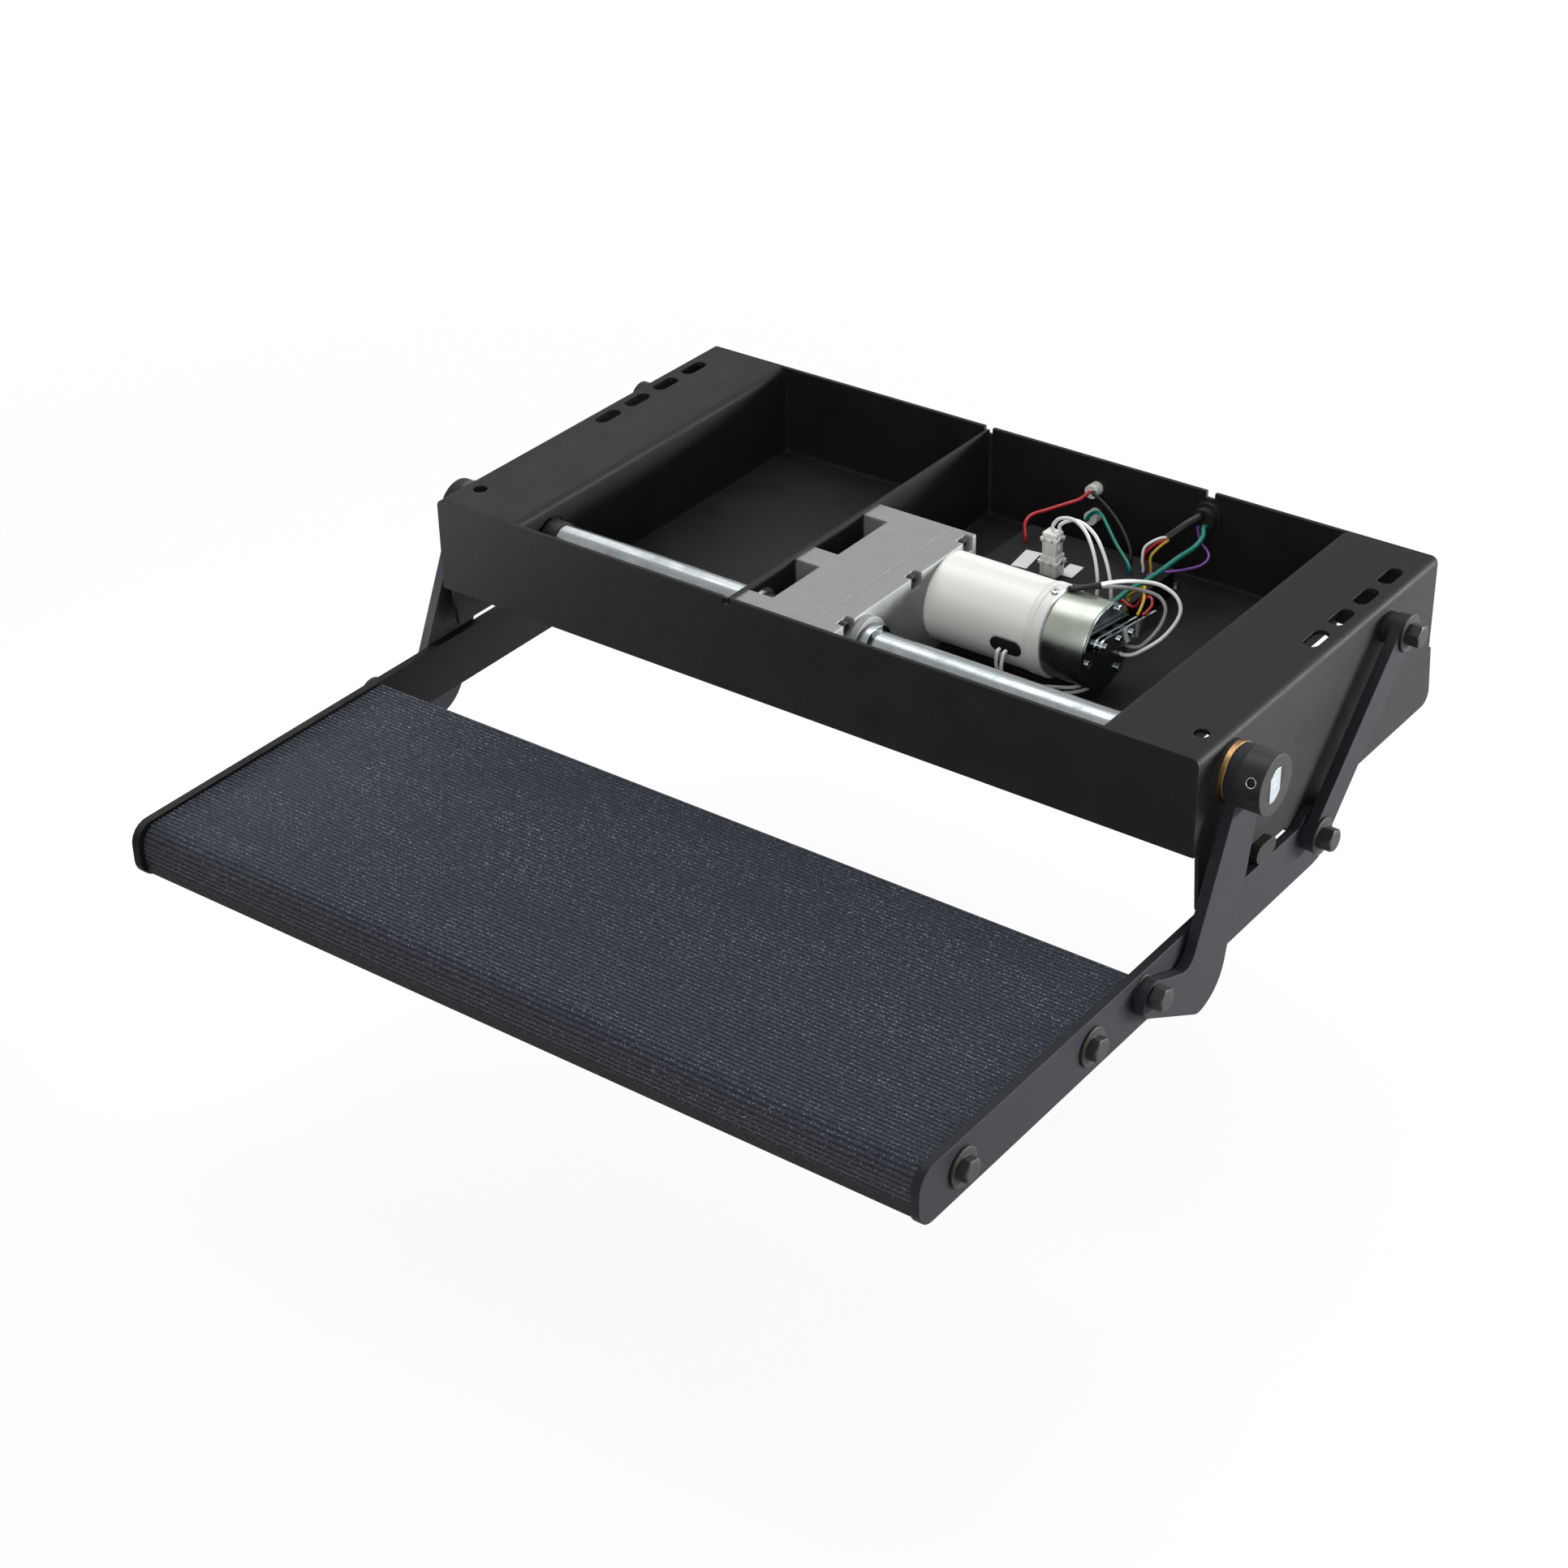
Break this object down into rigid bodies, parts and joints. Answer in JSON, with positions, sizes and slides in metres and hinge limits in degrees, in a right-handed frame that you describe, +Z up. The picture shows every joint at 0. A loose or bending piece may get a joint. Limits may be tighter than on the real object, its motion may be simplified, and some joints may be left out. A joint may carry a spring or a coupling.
{
  "type": "entry step",
  "caption": "Electric swing-out entry step: an open-topped sheet housing with a gear motor, bolted under a vehicle floor, and a ribbed tread that swings out on parallel arms.",
  "frame": {"origin": "midway between the two front fixing holes, on the top mounting face", "axes": "+X to the right along the housing, +Y to the rear, +Z up towards the vehicle floor; the tread comes out towards -Y"},
  "size_m": [0.6575, 0.6279, 0.1746],
  "materials": {
    "black_sheet": "satin black powder coat",
    "dark_plate": "satin black powder coat",
    "dark_bolts": "blackened steel",
    "bronze": "turned bronze",
    "cast_aluminium": "fine cast",
    "steel": "machined",
    "zinc": "bright zinc plate",
    "blackened": "blackened steel",
    "motor_paint": "gloss",
    "white_plastic": "moulded",
    "copper_coil": "enamelled winding",
    "black_rubber": "matt",
    "black_plastic": "matt",
    "white_wire": "insulation",
    "red_wire": "insulation",
    "black_wire": "insulation",
    "green_wire": "insulation",
    "purple_wire": "insulation",
    "tread_grip": "ribbed, coated with fine grit"
  },
  "bodies": {
    "housing": {"housing_pan": "black_sheet", "left_channel": "black_sheet", "right_channel": "black_sheet", "divider_plate": "black_sheet", "bearing_bosses": "black_sheet", "shaft_bushes": "bronze", "gearbox_case": "cast_aluminium", "gearbox_cover": "cast_aluminium", "gearbox_screws": "dark_bolts", "idler_pins": "steel", "motor_can": "motor_paint", "motor_magnets": "steel", "motor_end_ring": "white_plastic", "brake_housing": "zinc", "brake_coil": "copper_coil", "brake_end_plate": "zinc", "brake_screws": "zinc", "brake_lever": "zinc", "lever_rivets": "zinc", "motor_grommet": "black_rubber", "stop_bumpers": "black_rubber", "rear_pivot_bolts": "dark_bolts", "rear_pivot_spacers": "dark_plate", "control_unit": "black_plastic", "connector_socket": "white_plastic", "connector_plug": "white_plastic", "wire_clips": "white_plastic", "harness_grommet": "black_rubber", "floor_screw": "zinc", "connector_leads": "white_wire", "motor_leads": "white_wire", "brake_leads": "white_wire", "red_wire": "red_wire", "black_wire": "black_wire", "green_wire": "green_wire", "earth_wire": "green_wire", "purple_wire": "purple_wire", "sensor_leads": "red_wire", "harness_sleeve": "black_wire"},
    "drive": {"drive_shaft": "zinc", "output_gear": "steel", "shaft_collar": "blackened", "gearbox_collar": "zinc", "left_front_arm": "dark_plate", "right_front_arm": "dark_plate", "arm_hub": "dark_plate", "set_screw": "zinc"},
    "tread_set": {"tread": "tread_grip", "left_rail": "dark_plate", "right_rail": "dark_plate", "tread_fasteners": "dark_bolts"},
    "left_link": {"left_rear_arm": "dark_plate"},
    "right_link": {"right_rear_arm": "dark_plate"},
    "gear_one": {"idler_one": "steel"},
    "gear_two": {"idler_two": "steel"},
    "gear_three": {"idler_three": "steel"},
    "gear_four": {"idler_four": "steel"},
    "motor_rotor": {"rotor": "steel"}
  },
  "joints": [
    {"name": "step_swing", "type": "hinge", "parent": "housing", "child": "drive", "pos_m": [0, 0.009, -0.025], "axis": [1, 0, 0], "range_deg": [0, 90]},
    {"name": "tread_level", "type": "hinge", "parent": "drive", "child": "tread_set", "pos_m": [0, -0.095, -0.1275], "axis": [1, 0, 0], "range_deg": [-90, 0]},
    {"name": "left_link_swing", "type": "hinge", "parent": "housing", "child": "left_link", "pos_m": [0, 0.217, -0.0205], "axis": [1, 0, 0], "range_deg": [0, 90]},
    {"name": "right_link_swing", "type": "hinge", "parent": "housing", "child": "right_link", "pos_m": [0, 0.217, -0.0205], "axis": [1, 0, 0], "range_deg": [0, 90]},
    {"name": "gear_one_spin", "type": "hinge", "parent": "housing", "child": "gear_one", "pos_m": [0, 0.0449, -0.03395], "axis": [1, 0, 0], "range_deg": [-86, 0]},
    {"name": "gear_two_spin", "type": "hinge", "parent": "housing", "child": "gear_two", "pos_m": [0, 0.07758, -0.03854], "axis": [1, 0, 0], "range_deg": [0, 183]},
    {"name": "gear_three_spin", "type": "hinge", "parent": "housing", "child": "gear_three", "pos_m": [0, 0.11245, -0.03549], "axis": [1, 0, 0], "range_deg": [-670, 0]},
    {"name": "gear_four_spin", "type": "hinge", "parent": "housing", "child": "gear_four", "pos_m": [0, 0.07758, -0.03854], "axis": [1, 0, 0], "range_deg": [0, 2457]},
    {"name": "rotor_spin", "type": "hinge", "parent": "housing", "child": "motor_rotor", "pos_m": [0, 0.11245, -0.03549], "axis": [1, 0, 0], "range_deg": [-9007, 0]}
  ],
  "couplings": [
    {"joint": "tread_level", "follows": "step_swing", "ratio": -1},
    {"joint": "left_link_swing", "follows": "step_swing", "ratio": 1},
    {"joint": "right_link_swing", "follows": "step_swing", "ratio": 1},
    {"joint": "gear_one_spin", "follows": "step_swing", "ratio": -0.94737},
    {"joint": "gear_two_spin", "follows": "step_swing", "ratio": 2.0301},
    {"joint": "gear_three_spin", "follows": "step_swing", "ratio": -7.4436},
    {"joint": "gear_four_spin", "follows": "step_swing", "ratio": 27.293},
    {"joint": "rotor_spin", "follows": "step_swing", "ratio": -100.08}
  ]
}
